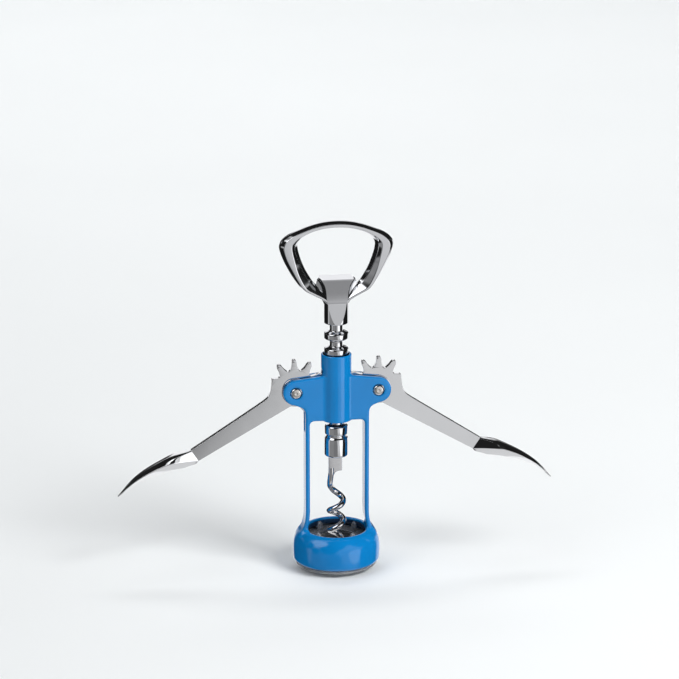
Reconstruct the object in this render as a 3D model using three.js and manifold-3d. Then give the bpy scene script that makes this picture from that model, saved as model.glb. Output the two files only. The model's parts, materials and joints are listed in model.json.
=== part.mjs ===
// Wing corkscrew: an enamelled cast frame that stands on a bottle neck, a ringed rack shaft that
// carries a bottle-opener handle and a worm, and two geared levers that lift the shaft.
// Millimetres, +Z up. The origin is the centre of the liner's flat lower face, under the bell. The levers
// lie along X and the front faces -Y. The pose at rest has the levers 30 degrees below the horizontal.
import * as THREE from "three";
import { mergeVertices } from "three/addons/utils/BufferGeometryUtils.js";
import Module from "manifold-3d";

const wasm = await Module();
wasm.setup();

// ---- driving dimensions ----
const CLEARANCE = 0.3; // between pieces that turn, slide or nest in each other

// Rack and gear: each ring of the shaft is one rack tooth, and each lever has a 12-tooth-per-turn sector.
const RACK_PITCH = 6.8;
const GEAR_TEETH = 12;
const PRESSURE_ANGLE = THREE.MathUtils.degToRad(14.5);
const PITCH_RADIUS = (GEAR_TEETH * RACK_PITCH) / (2 * Math.PI);
const PIVOT_X = 17.6;
const PIVOT_Z = 77.3;
const TOOTH_LEAN = THREE.MathUtils.degToRad(2.2); // how far the upright tooth leans outwards at rest
const BACKLASH_TAKEN = 0.35; // the levers' weight holds the rings this far below mid-gap

// Frame and the liner's flange below it
const FLANGE_THICKNESS = 0.95;
const BELL_BOTTOM_Z = FLANGE_THICKNESS + CLEARANCE;
const BELL_HEIGHT = 15.1; // top of the bell's shoulder
const BELL_OUTER_R = 18.75;
const BELL_INNER_R = 16.2;
const BELL_MOUTH_R = 12.9; // opening in the bell's top
const TUBE_TOP_Z = 93.2;
const TUBE_OUTER_R = 6.5;
const HEAD_DEPTH = 8.4; // front to back, across both cheeks
const WINDOW_TOP_Z = 64.6;
const LEG_INNER_X = 11.8;
const LEG_OUTER_X = 13.6;

// Levers
const PLATE_THICKNESS = 2.4;
const HUB_THICKNESS = 3.0;
const SLOT_WIDTH = HUB_THICKNESS + 2 * CLEARANCE;
const TIP_RADIUS = 14.0;
const ROOT_RADIUS = 9.2;
const TOOTH_THICKNESS = 2.9; // on the pitch circle
const PIN_RADIUS = 2.25;

// Shaft
const RING_RADIUS = 5.2;
const CORE_RADIUS = 2.8;
const RING_THICKNESS = 2.9; // on the pitch line
const BORE_RADIUS = RING_RADIUS + CLEARANCE;
const SLEEVE_BOTTOM_Z = 47.9;
const TANG_BORE_R = 3.8;
const TANG_BORE_TOP_Z = 58.9;
const SPIGOT_RADIUS = 2.4;
const SPIGOT_TOP_Z = 116.8;
const NECK_BOTTOM_Z = 106.7;

// Worm
const WORM_WIRE_R = 1.3;
const WORM_HELIX_R = 2.95; // to the wire's middle
const WORM_PITCH = 9;
const WORM_TIP_Z = 2.2;

// Colours
const steel = (color, roughness) => new THREE.MeshStandardMaterial({ color, roughness, metalness: 1 });
const MATERIALS = {
  enamel: new THREE.MeshStandardMaterial({ color: 0x1f7cc4, roughness: 0.12, metalness: 0 }),
  chrome: steel(0xd4d6d8, 0.08),
  worm: steel(0xb9bbbe, 0.18),
  pin: steel(0xc9c5bd, 0.25),
  clearPlastic: new THREE.MeshStandardMaterial({ color: 0x8d9194, roughness: 0.2, metalness: 0 }),
};

// ---- helpers ----

// A closed geometry as a manifold solid.
function solid(geometry) {
  const bare = geometry.clone();
  bare.deleteAttribute("normal");
  bare.deleteAttribute("uv");
  const merged = mergeVertices(bare, 1e-4);
  return new wasm.Manifold(
    new wasm.Mesh({
      numProp: 3,
      vertProperties: new Float32Array(merged.attributes.position.array),
      triVerts: new Uint32Array(merged.index.array),
    }),
  );
}

// A manifold solid as a geometry.
function geometryOf(made) {
  const mesh = made.getMesh();
  const geometry = new THREE.BufferGeometry();
  geometry.setAttribute("position", new THREE.BufferAttribute(mesh.vertProperties, 3));
  geometry.setIndex(new THREE.BufferAttribute(mesh.triVerts, 1));
  geometry.computeVertexNormals();
  return geometry;
}

const point = (x, z) => new THREE.Vector2(x, z);
const polar = (radius, angle) => point(radius * Math.cos(angle), radius * Math.sin(angle));
const radians = THREE.MathUtils.degToRad;

// An outline drawn in X and Z, extruded along Y and centred on Y = 0, with its edges bevelled.
function slab(shape, depth, bevel = 0, curveSegments = 8) {
  const geometry = new THREE.ExtrudeGeometry(shape, {
    depth: depth - 2 * bevel,
    bevelEnabled: bevel > 0,
    bevelThickness: bevel,
    bevelSize: bevel,
    bevelOffset: -bevel,
    bevelSegments: 1,
    curveSegments,
  });
  geometry.translate(0, 0, bevel - depth / 2);
  geometry.rotateX(Math.PI / 2);
  return solid(geometry);
}

// A solid of revolution about Z from a profile of (radius, z) points, anticlockwise seen with +Z up.
function turned(profile, segments = 40) {
  const geometry = new THREE.LatheGeometry(profile, segments);
  geometry.rotateX(Math.PI / 2);
  return solid(geometry);
}

// A round bar along Y.
function barAlongY(radius, length, x, z, segments = 40) {
  const geometry = new THREE.CylinderGeometry(radius, radius, length, segments);
  geometry.translate(x, 0, z);
  return solid(geometry);
}

// A round bar along Z between two heights.
function barAlongZ(radius, bottom, top, segments = 40) {
  const geometry = new THREE.CylinderGeometry(radius, radius, top - bottom, segments);
  geometry.rotateX(Math.PI / 2);
  geometry.translate(0, 0, (top + bottom) / 2);
  return solid(geometry);
}

function block(xLow, xHigh, yLow, yHigh, zLow, zHigh) {
  const geometry = new THREE.BoxGeometry(xHigh - xLow, yHigh - yLow, zHigh - zLow);
  geometry.translate((xLow + xHigh) / 2, (yLow + yHigh) / 2, (zLow + zHigh) / 2);
  return solid(geometry);
}

// A closed skin over rings of points, each ring running anticlockwise seen from the far end.
function loft(rings) {
  const count = rings[0].length;
  const middle = (ring) => ring.reduce((sum, p) => sum.add(p), new THREE.Vector3()).divideScalar(count);
  const points = [...rings.flat(), middle(rings[0]), middle(rings.at(-1))];
  const first = rings.length * count;
  const last = first + 1;
  const index = [];
  for (let j = 0; j < count; j++) {
    const k = (j + 1) % count;
    for (let i = 0; i + 1 < rings.length; i++) {
      const near = i * count;
      const far = near + count;
      index.push(near + j, near + k, far + k, near + j, far + k, far + j);
    }
    const end = first - count;
    index.push(first, k, j, last, end + j, end + k);
  }
  const geometry = new THREE.BufferGeometry().setFromPoints(points);
  geometry.setIndex(index);
  return solid(geometry);
}

const minus = (body, ...cuts) => cuts.reduce((left, cut) => left.subtract(cut), body);
const plus = (...bodies) => bodies.reduce((sum, body) => sum.add(body));

// ---- frame: guide tube, cross head with two cheeks, two legs and the bell, all one casting ----

function frameGeometry() {
  const EAR_R = 5.5;
  const SHOULDER_Z = PIVOT_Z + 6.9; // where each ear's sloping top meets the tube
  const ARMPIT_Z = PIVOT_Z - 7.2; // where each ear's underside meets the leg
  const LEG_FOOT_Z = 12; // inside the bell's shoulder
  const FILLET = 2.6;

  const half = [];
  half.push(point(0, SHOULDER_Z), point(TUBE_OUTER_R - 0.3, SHOULDER_Z));
  for (const degrees of [83, 60, 35, 10, -15, -40, -65, -90]) {
    const rim = polar(EAR_R, radians(degrees));
    half.push(point(PIVOT_X + rim.x, PIVOT_Z + rim.y));
  }
  half.push(point(LEG_OUTER_X + 0.9, ARMPIT_Z + 0.2), point(LEG_OUTER_X + 0.2, ARMPIT_Z - 0.7));
  half.push(point(LEG_OUTER_X, ARMPIT_Z - 2));
  // The leg's outer side sweeps out into the bell's shoulder.
  half.push(point(LEG_OUTER_X, 21.5), point(14.1, 18.9), point(15.2, 16.8), point(16.8, 14.9));
  half.push(point(17.8, 13.3), point(17.6, LEG_FOOT_Z), point(13.9, LEG_FOOT_Z));
  half.push(point(13.1, BELL_HEIGHT), point(12.3, 18.5), point(LEG_INNER_X, 23));
  half.push(point(LEG_INNER_X, WINDOW_TOP_Z - FILLET));
  for (const degrees of [30, 60, 90]) {
    const rim = polar(FILLET, radians(degrees));
    half.push(point(LEG_INNER_X - FILLET + rim.x, WINDOW_TOP_Z - FILLET + rim.y));
  }
  half.push(point(0, WINDOW_TOP_Z));
  const mirrored = half.slice(1, -1).reverse().map((p) => point(-p.x, p.y));
  const yoke = slab(new THREE.Shape([...half, ...mirrored].reverse()), HEAD_DEPTH, 0.45);

  const bellProfile = [
    point(BELL_INNER_R, BELL_BOTTOM_Z), point(17.4, BELL_BOTTOM_Z), point(18.15, 1.6), point(18.6, 2.7),
    point(BELL_OUTER_R, 5), point(18.6, 8), point(18.1, 10.6), point(17.1, 12.7),
    point(15.7, 14.2), point(14.3, 14.95),
    point(13.5, BELL_HEIGHT), point(BELL_MOUTH_R, 14.8), point(BELL_MOUTH_R, 13), point(13.6, 11.7),
    point(BELL_INNER_R, 11.5), point(BELL_INNER_R, BELL_BOTTOM_Z),
  ];
  const bell = turned(bellProfile, 40);

  const tube = barAlongZ(TUBE_OUTER_R, WINDOW_TOP_Z - 0.5, TUBE_TOP_Z, 40);
  let frame = plus(yoke, tube, bell);
  frame = minus(frame, barAlongZ(BORE_RADIUS, WINDOW_TOP_Z - 5, TUBE_TOP_Z + 5, 40));
  for (const side of [-1, 1]) {
    const x = side * PIVOT_X;
    const wide = [side * (LEG_OUTER_X - 0.7), side * (PIVOT_X + 12)].sort((a, b) => a - b);
    frame = minus(
      frame,
      barAlongY(TIP_RADIUS + 0.6, SLOT_WIDTH, x, PIVOT_Z),
      block(...wide, -SLOT_WIDTH / 2, SLOT_WIDTH / 2, WINDOW_TOP_Z - 5.3, TUBE_TOP_Z),
      barAlongY(PIN_RADIUS + CLEARANCE, HEAD_DEPTH + 2, x, PIVOT_Z, 24),
    );
  }
  return geometryOf(frame);
}

// ---- bell insert: clear plastic liner that centres the bottle's lip, with a flange under the bell's
// rim, a deck with a hole for the worm, and upright fingers round the hole ----

function insertGeometry() {
  const OUTER_R = BELL_INNER_R - CLEARANCE;
  const WALL = 0.8;
  const DECK_TOP_Z = 11.2;
  const DECK_THICKNESS = 1.2;
  const GUIDE_HOLE_R = 8;
  const FLANGE_R = 17.5;
  const FINGER_R = 10.3;
  const FINGER_TOP_Z = 14.3;
  const FINGER_WIDTH = 2.6;
  const FINGER_TURN = radians(-10);

  const deckBottom = DECK_TOP_Z - DECK_THICKNESS;
  let insert = turned([
    point(OUTER_R - WALL, 0), point(FLANGE_R - 0.3, 0),
    point(FLANGE_R, 0.3), point(FLANGE_R, FLANGE_THICKNESS),
    point(OUTER_R, FLANGE_THICKNESS), point(OUTER_R, DECK_TOP_Z), point(GUIDE_HOLE_R, DECK_TOP_Z),
    point(GUIDE_HOLE_R, deckBottom), point(OUTER_R - WALL, deckBottom), point(OUTER_R - WALL, 0),
  ], 40);

  const finger = new THREE.Shape();
  finger.moveTo(-FINGER_WIDTH / 2, deckBottom + 0.3);
  finger.lineTo(FINGER_WIDTH / 2, deckBottom + 0.3);
  finger.lineTo(FINGER_WIDTH / 2, FINGER_TOP_Z - FINGER_WIDTH / 2);
  finger.absarc(0, FINGER_TOP_Z - FINGER_WIDTH / 2, FINGER_WIDTH / 2, 0, Math.PI, false);
  for (let i = 0; i < 4; i++) {
    const angle = FINGER_TURN + radians(45 + 90 * i);
    insert = insert.add(
      slab(finger, 0.9, 0, 5)
        .translate([0, FINGER_R, 0])
        .rotate([0, 0, THREE.MathUtils.radToDeg(angle) - 90]),
    );
  }
  return geometryOf(insert);
}

// ---- rack shaft: ringed bar with a spigot for the handle above and a crimped sleeve for the worm ----

function rackShaftGeometry() {
  const gapMiddle = PIVOT_Z + PITCH_RADIUS * TOOTH_LEAN - BACKLASH_TAKEN;
  const pitchLineR = PIVOT_X - PITCH_RADIUS;
  const halfRim = RING_THICKNESS / 2 - (RING_RADIUS - pitchLineR) * Math.tan(PRESSURE_ANGLE);
  const halfRoot = RING_THICKNESS / 2 + (pitchLineR - CORE_RADIUS) * Math.tan(PRESSURE_ANGLE);
  const EDGE = 0.35; // chamfer on each ring's rim
  const LOWEST_RING = -2;
  const HIGHEST_RING = 3;
  const sleeveTop = gapMiddle + (LOWEST_RING - 0.5) * RACK_PITCH + halfRim;

  const profile = [
    point(0, TANG_BORE_TOP_Z), point(TANG_BORE_R, TANG_BORE_TOP_Z), point(TANG_BORE_R, SLEEVE_BOTTOM_Z),
    point(4.7, SLEEVE_BOTTOM_Z), point(5.1, SLEEVE_BOTTOM_Z + 0.5), point(4.95, 55.7),
    point(4.45, 56.7), point(4.45, 57.1), point(4.95, 58.1), point(5.0, sleeveTop - EDGE),
    point(4.7, sleeveTop), point(CORE_RADIUS, sleeveTop + 0.4),
  ];
  for (let ring = LOWEST_RING; ring <= HIGHEST_RING; ring++) {
    const z = gapMiddle + (ring + 0.5) * RACK_PITCH;
    profile.push(
      point(CORE_RADIUS, z - halfRoot), point(RING_RADIUS - EDGE, z - halfRim),
      point(RING_RADIUS, z - halfRim + EDGE), point(RING_RADIUS, z + halfRim - EDGE),
      point(RING_RADIUS - EDGE, z + halfRim), point(CORE_RADIUS, z + halfRoot),
    );
  }
  const shoulder = NECK_BOTTOM_Z - CLEARANCE;
  profile.push(point(CORE_RADIUS, shoulder), point(SPIGOT_RADIUS, shoulder));
  profile.push(point(SPIGOT_RADIUS, SPIGOT_TOP_Z), point(0, SPIGOT_TOP_Z));
  return geometryOf(turned(profile, 24));
}

// ---- handle: a bevelled loop for the fingers, a tongue that lifts bottle caps, and a round neck ----

function handleGeometry() {
  const LOOP_DEPTH = 6.4;
  const NECK_R = 5.2;
  const TONGUE_TOP_Z = 127.2;
  const TONGUE_DEPTH = 6.9;

  const loopOuter = [
    [0, 151], [8, 150.5], [15, 148.1], [20, 145.8], [22.9, 143.6], [24.2, 140.7],
    [22.6, 134.9], [20.2, 130], [17.6, 125.6], [14.6, 122.1], [10.2, 119.4], [5.4, 116.6],
  ];
  const loopInner = [
    [0, 148.2], [7.6, 147.7], [12.7, 145.8], [15.4, 143.9], [16.6, 141.2], [15.9, 136.5],
    [13.9, 131], [11.7, 127], [9.3, 123.3],
  ];
  const both = (side) => {
    const right = side.map(([x, z]) => point(x, z));
    const left = side.slice(1).reverse().map(([x, z]) => point(-x, z));
    return [...right, ...left];
  };
  const smooth = (points, closed, count) =>
    new THREE.CatmullRomCurve3(points.map((p) => new THREE.Vector3(p.x, p.y, 0)), closed, "centripetal")
      .getPoints(count).map((p) => point(p.x, p.y));

  // The outline runs from the neck's left side over the top to its right side.
  const overTop = both(loopOuter);
  const turnAt = loopOuter.length;
  const outline = smooth([...overTop.slice(turnAt), ...overTop.slice(0, turnAt)], false, 40);
  const loop = new THREE.Shape([...outline, point(4.6, 115), point(-4.6, 115)].reverse());
  const underTop = both(loopInner);
  const innerTurn = loopInner.length;
  const opening = smooth([...underTop.slice(innerTurn), ...underTop.slice(0, innerTurn)], false, 32);
  loop.holes.push(new THREE.Path([...opening, point(8, 122.4), point(-8, 122.4)]));

  const tongue = new THREE.Shape([
    point(-5.1, TONGUE_TOP_Z), point(-6.3, TONGUE_TOP_Z - 1),
    point(-5.2, 124), point(-4.6, 120), point(-4.5, 116),
    point(4.5, 116), point(4.6, 120), point(5.2, 124),
    point(6.3, TONGUE_TOP_Z - 1), point(5.1, TONGUE_TOP_Z),
  ]);
  const neck = turned([
    point(0, NECK_BOTTOM_Z), point(NECK_R - 0.4, NECK_BOTTOM_Z), point(NECK_R, NECK_BOTTOM_Z + 0.4),
    point(NECK_R, 117), point(3.2, 121.5), point(0, 121.5),
  ], 36);
  const handle = plus(slab(loop, LOOP_DEPTH, 0.8), slab(tongue, TONGUE_DEPTH, 0.3), neck);

  // The front and back of the neck are cut by flats that slope in to meet the tongue's faces.
  const flats = [-1, 1].map((side) => {
    const reach = TONGUE_DEPTH / 2;
    const wedge = [point(reach, 122), point(reach, 115.4), point(5.3, 106), point(9, 106), point(9, 122)];
    return slab(new THREE.Shape(wedge.map((p) => point(side * p.x, p.y))), 24).rotate([0, 0, 90]);
  });
  const socket = barAlongZ(SPIGOT_RADIUS + CLEARANCE, NECK_BOTTOM_Z - 5, SPIGOT_TOP_Z + CLEARANCE, 32);
  return geometryOf(minus(handle, ...flats, socket));
}

// ---- worm: flat tang above, then a right-handed helix of round wire that ends in a point ----

// The wire's middle at a height, with the angle round Z in radians.
function wormAt(z) {
  const LEAD_BOTTOM_Z = 27.5; // below it the pitch is constant
  const LEAD_TOP_Z = 40;
  const START_R = 2.1;
  if (z <= LEAD_BOTTOM_Z) {
    return { angle: (2 * Math.PI * (z - LEAD_BOTTOM_Z)) / WORM_PITCH, radius: WORM_HELIX_R };
  }
  const u = Math.min((z - LEAD_BOTTOM_Z) / (LEAD_TOP_Z - LEAD_BOTTOM_Z), 1);
  const slope = (2 * Math.PI * (LEAD_TOP_Z - LEAD_BOTTOM_Z)) / WORM_PITCH;
  const angle = slope * (u ** 3 - 2 * u ** 2 + u) + Math.PI * (3 * u ** 2 - 2 * u ** 3);
  return { angle, radius: THREE.MathUtils.lerp(WORM_HELIX_R, START_R, u ** 2) };
}

function wormGeometry() {
  const TOP_Z = 42.3;
  const SIDES = 8;
  const TAPER = 4; // height over which the wire narrows to its point
  const place = (z) => {
    const { angle, radius } = wormAt(z);
    return new THREE.Vector3(radius * Math.cos(angle), radius * Math.sin(angle), z);
  };
  const heights = [];
  for (let z = TOP_Z; z > WORM_TIP_Z; z -= z > 28 ? 0.9 : WORM_PITCH / 18) heights.push(z);
  heights.push(WORM_TIP_Z);
  const rings = heights.map((z) => {
    const middle = place(z);
    const along = place(z - 0.05).sub(place(z + 0.05)).normalize();
    const out = new THREE.Vector3(middle.x, middle.y, 0).normalize();
    const side = new THREE.Vector3().crossVectors(along, out).normalize();
    out.crossVectors(side, along);
    const wire = WORM_WIRE_R * Math.max(0.12, Math.min(1, (z - WORM_TIP_Z) / TAPER + 0.12));
    return Array.from({ length: SIDES }, (_, i) => {
      const turn = (2 * Math.PI * i) / SIDES;
      return middle.clone()
        .addScaledVector(out, wire * Math.cos(turn))
        .addScaledVector(side, wire * Math.sin(turn));
    });
  });
  const TANG_LEFT = -3.4;
  const TANG_RIGHT = 2.4;
  const TANG_THICKNESS = 1.8;
  const TANG_FOOT_Z = 41;
  const tang = new THREE.Shape([
    point(TANG_LEFT, TANG_FOOT_Z - 2.2), point(-1.1, TANG_FOOT_Z - 2.2), point(-0.6, TANG_FOOT_Z - 0.9),
    point(0.5, TANG_FOOT_Z - 0.1), point(TANG_RIGHT, TANG_FOOT_Z), point(TANG_RIGHT, TANG_BORE_TOP_Z - 0.6),
    point(TANG_LEFT, TANG_BORE_TOP_Z - 0.6),
  ]);
  return geometryOf(plus(loft(rings), slab(tang, TANG_THICKNESS)));
}

// ---- levers: gear sector, flat arm and a thumb rest that flares out of it, drawn about the pivot ----

// Half the angle that a tooth covers at a radius, on an involute flank above the base circle.
function toothHalfAngle(radius) {
  const involute = (angle) => Math.tan(angle) - angle;
  const baseRadius = PITCH_RADIUS * Math.cos(PRESSURE_ANGLE);
  const there = Math.acos(Math.min(1, baseRadius / radius));
  return TOOTH_THICKNESS / 2 / PITCH_RADIUS + involute(PRESSURE_ANGLE) - involute(there);
}

function gearOutline(firstTooth, teeth) {
  const outline = [];
  const FLANK = [12.8, 13.4, 13.75];
  for (let i = 0; i < teeth; i++) {
    const middle = firstTooth + (2 * Math.PI * i) / GEAR_TEETH;
    const rise = [
      [ROOT_RADIUS + 0.1, 0.215], [ROOT_RADIUS + 0.55, 0.155], [11, toothHalfAngle(PITCH_RADIUS)],
      ...FLANK.map((r, n) => [r, toothHalfAngle(r) - [0, 0.012, 0.036][n]]), [TIP_RADIUS, 0.025],
    ];
    for (const [r, half] of rise) outline.push(polar(r, middle - half));
    for (const [r, half] of rise.reverse()) outline.push(polar(r, middle + half));
  }
  return outline;
}

function leverGeometry() {
  const HUB_R = 5.9;
  const BACK_R = 6.7; // plain rim between the last tooth and the arm's lower edge
  const ARM_END_TOP = point(44.6, -24.2);
  const ARM_END_LOW = point(41.5, -29);
  const OUTERMOST_TOOTH = Math.PI / 2 - TOOTH_LEAN - (2 * Math.PI) / GEAR_TEETH;
  const TEETH = 7;

  const outline = [
    ARM_END_LOW, ARM_END_TOP, point(14.2, -4.3), point(12.1, -2.8), point(10.7, -0.9), point(10.1, 1.4),
    polar(11.6, radians(29.6)), polar(11.2, radians(32)), polar(ROOT_RADIUS + 0.3, radians(38)),
  ];
  outline.push(...gearOutline(OUTERMOST_TOOTH, TEETH));
  for (const degrees of [257, 266, 275, 286]) outline.push(polar(BACK_R, radians(degrees)));
  const plate = slab(new THREE.Shape(outline), PLATE_THICKNESS);

  // Stations of the thumb rest. The leaf's edges run through x, z. Each section leans by an angle in
  // degrees and has a half width, a crown above the edges and a keel below them.
  const STATIONS = [
    [40.8, -28.4, -31, 1, 5, 0.1], [43.6, -28.6, -29, 1.9, 4.4, 2], [46.4, -28.5, -25, 3.3, 3.4, 3],
    [49.4, -28.4, -21, 4.6, 2.5, 4], [52.2, -28.5, -18, 5.1, 1.5, 4.3], [56.4, -29.5, -17, 5.2, 0.8, 4.1],
    [60.5, -31.3, -21, 5, 0.6, 3.2], [64.7, -33.7, -29, 4.4, 0.5, 2.2], [68.8, -36.5, -37, 3.5, 0.45, 1.3],
    [71.8, -39.2, -42, 2.5, 0.4, 0.8], [74.3, -41.8, -46, 1.5, 0.35, 0.5], [75.9, -43.6, -48, 0.6, 0.25, 0.3],
  ];
  const EDGE = 0.2; // half the thickness of the leaf's edge
  const rings = STATIONS.map(([x, z, degrees, half, crown, keel]) => {
    const rib = Math.min(0.95, 0.7 * half);
    const lean = radians(degrees);
    const right = [
      [rib, -keel - EDGE], [0.65 * half + 0.1, -0.5 * keel - EDGE], [half, -EDGE],
      [half, EDGE], [0.6 * half, EDGE + 0.5 * crown], [0.4 * rib, EDGE + crown],
    ];
    const left = right.map(([across, up]) => [-across, up]).reverse();
    return [...right, ...left].map(
      ([across, up]) => new THREE.Vector3(x - up * Math.sin(lean), across, z + up * Math.cos(lean)),
    );
  });
  const rest = loft(rings);
  const hub = barAlongY(HUB_R, HUB_THICKNESS, 0, 0, 28);
  const bore = barAlongY(PIN_RADIUS + CLEARANCE, 10, 0, 0, 24);
  return geometryOf(minus(plus(rest, plate, hub), bore));
}

// ---- pivot pin: plain rivet through both cheeks, with a low domed end at each side ----

function pinGeometry() {
  const HALF = HEAD_DEPTH / 2 + 0.55;
  const profile = [
    point(0, -HALF), point(1.5, -HALF + 0.08), point(PIN_RADIUS, -HALF + 0.5),
    point(PIN_RADIUS, HALF - 0.5), point(1.5, HALF - 0.08), point(0, HALF),
  ];
  return geometryOf(turned(profile, 20).rotate([90, 0, 0]));
}

// ---- assembly ----

const corkscrew = new THREE.Group();

function add(name, geometry, material) {
  const mesh = new THREE.Mesh(geometry, material);
  mesh.name = name;
  corkscrew.add(mesh);
  return mesh;
}

add("frame", frameGeometry(), MATERIALS.enamel);
add("bell_insert", insertGeometry(), MATERIALS.clearPlastic);
add("rack_shaft", rackShaftGeometry(), MATERIALS.chrome);
add("handle", handleGeometry(), MATERIALS.chrome);
add("worm", wormGeometry(), MATERIALS.worm);

const lever = leverGeometry();
const pin = pinGeometry();
for (const [side, turn, x] of [["right", 0, PIVOT_X], ["left", Math.PI, -PIVOT_X]]) {
  const arm = add(`${side}_lever`, lever, MATERIALS.chrome);
  arm.position.set(x, 0, PIVOT_Z);
  arm.rotation.z = turn;
  add(`${side}_pivot_pin`, pin, MATERIALS.pin).position.set(x, 0, PIVOT_Z);
}

export default corkscrew;
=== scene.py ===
import json
import math

import bmesh
import bpy
import numpy as np
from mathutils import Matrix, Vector


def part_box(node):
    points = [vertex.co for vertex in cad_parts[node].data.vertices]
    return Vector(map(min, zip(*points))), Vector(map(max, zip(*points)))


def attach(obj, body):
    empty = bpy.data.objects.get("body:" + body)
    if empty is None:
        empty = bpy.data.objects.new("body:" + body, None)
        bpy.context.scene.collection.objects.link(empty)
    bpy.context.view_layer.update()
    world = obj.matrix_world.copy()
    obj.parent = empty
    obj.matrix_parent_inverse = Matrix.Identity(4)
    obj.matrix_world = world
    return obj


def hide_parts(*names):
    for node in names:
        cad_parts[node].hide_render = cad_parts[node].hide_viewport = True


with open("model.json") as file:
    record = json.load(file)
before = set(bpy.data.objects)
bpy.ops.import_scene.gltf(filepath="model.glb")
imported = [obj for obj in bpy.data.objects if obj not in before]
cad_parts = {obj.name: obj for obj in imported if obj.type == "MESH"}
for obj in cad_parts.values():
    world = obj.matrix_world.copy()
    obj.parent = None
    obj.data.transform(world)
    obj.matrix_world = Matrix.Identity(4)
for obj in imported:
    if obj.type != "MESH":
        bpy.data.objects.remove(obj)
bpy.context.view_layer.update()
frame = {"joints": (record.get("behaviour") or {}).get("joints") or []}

MM = 0.001

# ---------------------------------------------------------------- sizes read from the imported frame

pivot = next(j for j in frame["joints"] if j["name"] == "right_lever_pivot")["pos_m"]
PIVOT_X = pivot[0] / MM
PIVOT_Z = pivot[2] / MM
TUBE_TOP_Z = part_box("frame")[1].z / MM
BELL_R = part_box("frame")[1].y / MM
BELL_BOTTOM_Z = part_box("frame")[0].z / MM
SHAFT_BOTTOM_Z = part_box("rack_shaft")[0].z / MM
SHAFT_TOP_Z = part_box("rack_shaft")[1].z / MM
RING_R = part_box("rack_shaft")[1].x / MM
NECK_BOTTOM_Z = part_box("handle")[0].z / MM
LOOP_TOP_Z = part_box("handle")[1].z / MM
LOOP_HALF_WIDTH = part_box("handle")[1].x / MM
WORM_TIP_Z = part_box("worm")[0].z / MM
PIN_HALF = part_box("left_pivot_pin")[1].y / MM

# ---------------------------------------------------------------- rack and gear

RACK_PITCH = 6.8
GEAR_TEETH = 12
PRESSURE_ANGLE = math.radians(14.5)
PITCH_RADIUS = GEAR_TEETH * RACK_PITCH / (2 * math.pi)
TOOTH_LEAN = math.radians(2.2)
BACKLASH_TAKEN = 0.35
RING_THICKNESS = 2.9
TOOTH_THICKNESS = 2.9
TIP_RADIUS = 14.0
ROOT_RADIUS = 9.2
CORE_R = 2.8
PLATE_THICKNESS = 2.4
PLATE_EDGE = 0.13
HUB_THICKNESS = 3.0
HUB_R = 5.9
PIN_R = 2.25
CLEARANCE = 0.3

# ================================================================ mesh helpers


def fillet(points, closed=False, steps=4):
    """A polyline of (a, b, radius) with its corners rounded off by short curves."""
    out = []
    count = len(points)
    for i, (a, b, radius) in enumerate(points):
        here = np.array([a, b], float)
        if radius <= 0 or (not closed and i in (0, count - 1)):
            out.append(here)
            continue
        before = np.array(points[i - 1][:2], float) - here
        after = np.array(points[(i + 1) % count][:2], float) - here
        reach = min(radius, 0.48 * np.linalg.norm(before), 0.48 * np.linalg.norm(after))
        start = here + before / np.linalg.norm(before) * reach
        end = here + after / np.linalg.norm(after) * reach
        for t in np.linspace(0, 1, steps + 1):
            out.append((1 - t) ** 2 * start + 2 * t * (1 - t) * here + t * t * end)
    return out


def spline(rows, count):
    """Catmull-Rom samples through rows of numbers, evenly spaced in the row index."""
    rows = np.array(rows, float)
    padded = np.vstack([2 * rows[0] - rows[1], rows, 2 * rows[-1] - rows[-2]])
    out = []
    for s in np.linspace(0, len(rows) - 1, count):
        i = min(int(s), len(rows) - 2)
        t = s - i
        a, b, c, d = padded[i : i + 4]
        out.append(
            0.5 * (2 * b + (c - a) * t + (2 * a - 5 * b + 4 * c - d) * t**2 + (3 * b - a - 3 * c + d) * t**3)
        )
    return np.array(out)


def make_object(name, vertices, faces, material, body, slot, sharp_angle=40, weighted=False):
    """A smooth-shaded mesh object, in metres, riding on a body of the frame."""
    mesh = bpy.data.meshes.new(name)
    mesh.from_pydata((np.asarray(vertices, float) * MM).tolist(), [], [list(map(int, f)) for f in faces])
    mesh.validate()
    tidy = bmesh.new()
    tidy.from_mesh(mesh)
    bmesh.ops.remove_doubles(tidy, verts=tidy.verts, dist=1e-7)
    bmesh.ops.recalc_face_normals(tidy, faces=tidy.faces)
    tidy.to_mesh(mesh)
    tidy.free()
    mesh.shade_smooth()
    mesh.set_sharp_from_angle(angle=math.radians(sharp_angle))
    mesh.materials.append(material)
    obj = bpy.data.objects.new(name, mesh)
    bpy.context.scene.collection.objects.link(obj)
    if weighted:
        modifier = obj.modifiers.new("flat_faces", "WEIGHTED_NORMAL")
        modifier.keep_sharp = True
        modifier.weight = 80
    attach(obj, body)
    return obj


def join_parts(parts):
    """Several (vertices, faces) as one."""
    vertices, faces, base = [], [], 0
    for part_vertices, part_faces in parts:
        vertices.extend(np.asarray(part_vertices, float).tolist())
        faces.extend([[i + base for i in f] for f in part_faces])
        base += len(part_vertices)
    return np.array(vertices), faces


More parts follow.
